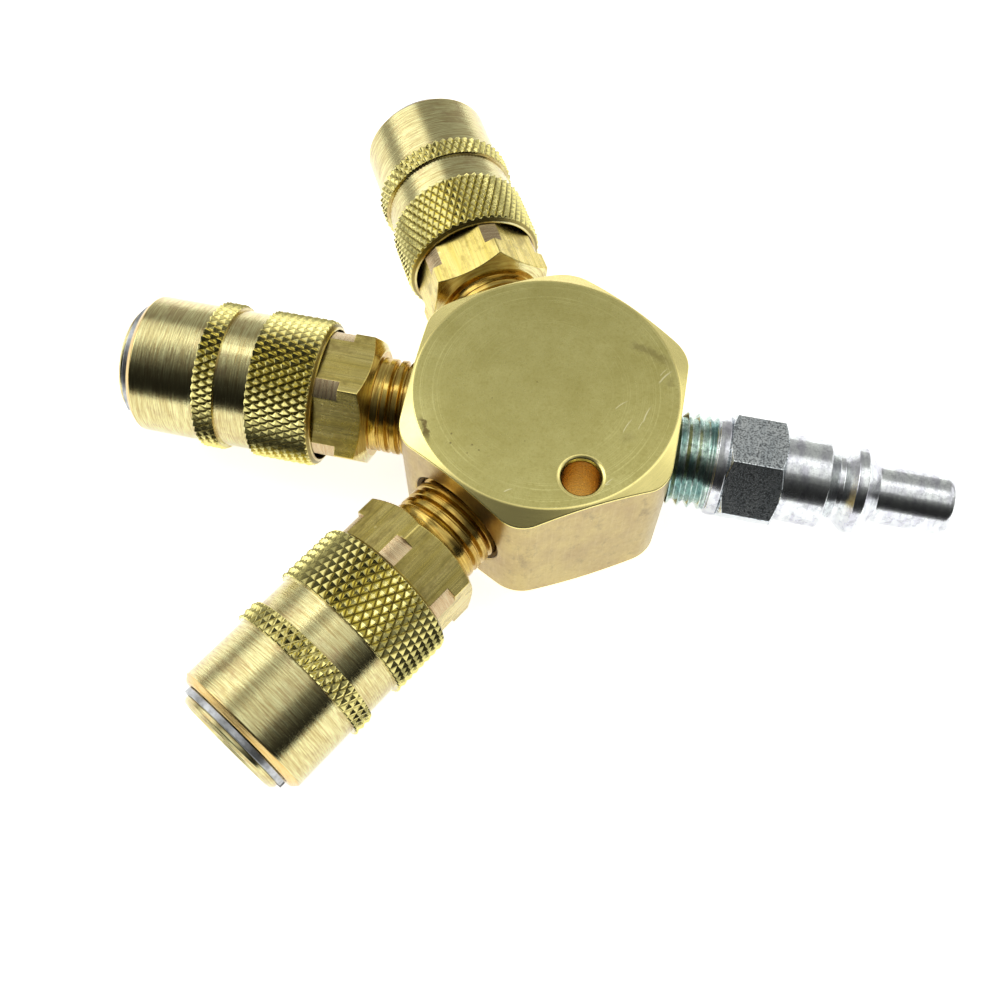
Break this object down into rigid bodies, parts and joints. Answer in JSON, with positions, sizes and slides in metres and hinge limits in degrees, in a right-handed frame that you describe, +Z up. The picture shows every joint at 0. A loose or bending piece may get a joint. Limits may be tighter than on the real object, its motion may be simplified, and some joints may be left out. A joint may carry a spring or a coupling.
{
  "type": "three-port air manifold",
  "caption": "Hexagonal brass block with a steel quick-connect inlet plug and knurled quick couplers that share out one compressed-air supply.",
  "frame": {"origin": "centre of the block's bottom face, on the surface that it stands on", "axes": "+Z up through the block, +X out of the inlet plug; the middle coupler points along -X, the front one to -Y and the rear one to +Y, each 60 degrees from it"},
  "size_m": [0.112, 0.1066, 0.0224],
  "materials": {
    "block_brass": "turned end faces, drawn sides",
    "fitting_brass": "drawn hexagon, turned ends",
    "sleeve_brass": "turned and diamond-knurled",
    "zinc_steel": "bright zinc plate",
    "spring_steel": "drawn wire, as wound",
    "ball_steel": "polished",
    "seal_rubber": "moulded, matt",
    "valve_brass": "turned",
    "thread_sealant": "dried, slightly glossy"
  },
  "bodies": {
    "manifold": {"manifold_block": "block_brass", "inlet_plug": "zinc_steel", "inlet_sealant": "thread_sealant", "front_adapter": "fitting_brass", "front_sealant": "thread_sealant", "front_body_seal": "seal_rubber", "front_socket_body": "valve_brass", "front_plug_seal": "seal_rubber", "front_sleeve_spring": "spring_steel", "front_valve_spring": "spring_steel", "front_retaining_ring": "spring_steel", "middle_adapter": "fitting_brass", "middle_sealant": "thread_sealant", "middle_body_seal": "seal_rubber", "middle_socket_body": "valve_brass", "middle_plug_seal": "seal_rubber", "middle_sleeve_spring": "spring_steel", "middle_valve_spring": "spring_steel", "middle_retaining_ring": "spring_steel", "rear_adapter": "fitting_brass", "rear_sealant": "thread_sealant", "rear_body_seal": "seal_rubber", "rear_socket_body": "valve_brass", "rear_plug_seal": "seal_rubber", "rear_sleeve_spring": "spring_steel", "rear_valve_spring": "spring_steel", "rear_retaining_ring": "spring_steel"},
    "front_sleeve": {"front_sleeve": "sleeve_brass"},
    "front_valve": {"front_poppet": "valve_brass", "front_poppet_seal": "seal_rubber"},
    "front_ball_1": {"front_ball_1": "ball_steel"},
    "front_ball_2": {"front_ball_2": "ball_steel"},
    "front_ball_3": {"front_ball_3": "ball_steel"},
    "front_ball_4": {"front_ball_4": "ball_steel"},
    "middle_sleeve": {"middle_sleeve": "sleeve_brass"},
    "middle_valve": {"middle_poppet": "valve_brass", "middle_poppet_seal": "seal_rubber"},
    "middle_ball_1": {"middle_ball_1": "ball_steel"},
    "middle_ball_2": {"middle_ball_2": "ball_steel"},
    "middle_ball_3": {"middle_ball_3": "ball_steel"},
    "middle_ball_4": {"middle_ball_4": "ball_steel"},
    "rear_sleeve": {"rear_sleeve": "sleeve_brass"},
    "rear_valve": {"rear_poppet": "valve_brass", "rear_poppet_seal": "seal_rubber"},
    "rear_ball_1": {"rear_ball_1": "ball_steel"},
    "rear_ball_2": {"rear_ball_2": "ball_steel"},
    "rear_ball_3": {"rear_ball_3": "ball_steel"},
    "rear_ball_4": {"rear_ball_4": "ball_steel"}
  },
  "joints": [
    {"name": "front_sleeve_slide", "type": "slide", "parent": "manifold", "child": "front_sleeve", "axis": [0.5, 0.866, 0], "range_m": [0, 0.003], "stiffness_N_per_m": 1500, "springref_m": -0.004, "deforming": ["front_sleeve_spring"]},
    {"name": "front_valve_slide", "type": "slide", "parent": "manifold", "child": "front_valve", "axis": [0.5, 0.866, 0], "range_m": [0, 0.0045], "stiffness_N_per_m": 600, "springref_m": -0.005, "deforming": ["front_valve_spring"]},
    {"name": "front_ball_1_slide", "type": "slide", "parent": "manifold", "child": "front_ball_1", "axis": [0.6124, -0.3536, 0.7071], "range_m": [0, 0.00067]},
    {"name": "front_ball_2_slide", "type": "slide", "parent": "manifold", "child": "front_ball_2", "axis": [-0.6124, 0.3536, 0.7071], "range_m": [0, 0.00067]},
    {"name": "front_ball_3_slide", "type": "slide", "parent": "manifold", "child": "front_ball_3", "axis": [-0.6124, 0.3536, -0.7071], "range_m": [0, 0.00067]},
    {"name": "front_ball_4_slide", "type": "slide", "parent": "manifold", "child": "front_ball_4", "axis": [0.6124, -0.3536, -0.7071], "range_m": [0, 0.00067]},
    {"name": "middle_sleeve_slide", "type": "slide", "parent": "manifold", "child": "middle_sleeve", "axis": [1, 0, 0], "range_m": [0, 0.003], "stiffness_N_per_m": 1500, "springref_m": -0.004, "deforming": ["middle_sleeve_spring"]},
    {"name": "middle_valve_slide", "type": "slide", "parent": "manifold", "child": "middle_valve", "axis": [1, 0, 0], "range_m": [0, 0.0045], "stiffness_N_per_m": 600, "springref_m": -0.005, "deforming": ["middle_valve_spring"]},
    {"name": "middle_ball_1_slide", "type": "slide", "parent": "manifold", "child": "middle_ball_1", "axis": [0, -0.7071, 0.7071], "range_m": [0, 0.00067]},
    {"name": "middle_ball_2_slide", "type": "slide", "parent": "manifold", "child": "middle_ball_2", "axis": [0, 0.7071, 0.7071], "range_m": [0, 0.00067]},
    {"name": "middle_ball_3_slide", "type": "slide", "parent": "manifold", "child": "middle_ball_3", "axis": [0, 0.7071, -0.7071], "range_m": [0, 0.00067]},
    {"name": "middle_ball_4_slide", "type": "slide", "parent": "manifold", "child": "middle_ball_4", "axis": [0, -0.7071, -0.7071], "range_m": [0, 0.00067]},
    {"name": "rear_sleeve_slide", "type": "slide", "parent": "manifold", "child": "rear_sleeve", "axis": [0.5, -0.866, 0], "range_m": [0, 0.003], "stiffness_N_per_m": 1500, "springref_m": -0.004, "deforming": ["rear_sleeve_spring"]},
    {"name": "rear_valve_slide", "type": "slide", "parent": "manifold", "child": "rear_valve", "axis": [0.5, -0.866, 0], "range_m": [0, 0.0045], "stiffness_N_per_m": 600, "springref_m": -0.005, "deforming": ["rear_valve_spring"]},
    {"name": "rear_ball_1_slide", "type": "slide", "parent": "manifold", "child": "rear_ball_1", "axis": [-0.6124, -0.3536, 0.7071], "range_m": [0, 0.00067]},
    {"name": "rear_ball_2_slide", "type": "slide", "parent": "manifold", "child": "rear_ball_2", "axis": [0.6124, 0.3536, 0.7071], "range_m": [0, 0.00067]},
    {"name": "rear_ball_3_slide", "type": "slide", "parent": "manifold", "child": "rear_ball_3", "axis": [0.6124, 0.3536, -0.7071], "range_m": [0, 0.00067]},
    {"name": "rear_ball_4_slide", "type": "slide", "parent": "manifold", "child": "rear_ball_4", "axis": [-0.6124, -0.3536, -0.7071], "range_m": [0, 0.00067]}
  ],
  "couplings": [
    {"joint": "front_ball_1_slide", "follows": "front_sleeve_slide", "ratio": 0.22},
    {"joint": "front_ball_2_slide", "follows": "front_sleeve_slide", "ratio": 0.22},
    {"joint": "front_ball_3_slide", "follows": "front_sleeve_slide", "ratio": 0.22},
    {"joint": "front_ball_4_slide", "follows": "front_sleeve_slide", "ratio": 0.22},
    {"joint": "middle_ball_1_slide", "follows": "middle_sleeve_slide", "ratio": 0.22},
    {"joint": "middle_ball_2_slide", "follows": "middle_sleeve_slide", "ratio": 0.22},
    {"joint": "middle_ball_3_slide", "follows": "middle_sleeve_slide", "ratio": 0.22},
    {"joint": "middle_ball_4_slide", "follows": "middle_sleeve_slide", "ratio": 0.22},
    {"joint": "rear_ball_1_slide", "follows": "rear_sleeve_slide", "ratio": 0.22},
    {"joint": "rear_ball_2_slide", "follows": "rear_sleeve_slide", "ratio": 0.22},
    {"joint": "rear_ball_3_slide", "follows": "rear_sleeve_slide", "ratio": 0.22},
    {"joint": "rear_ball_4_slide", "follows": "rear_sleeve_slide", "ratio": 0.22}
  ]
}
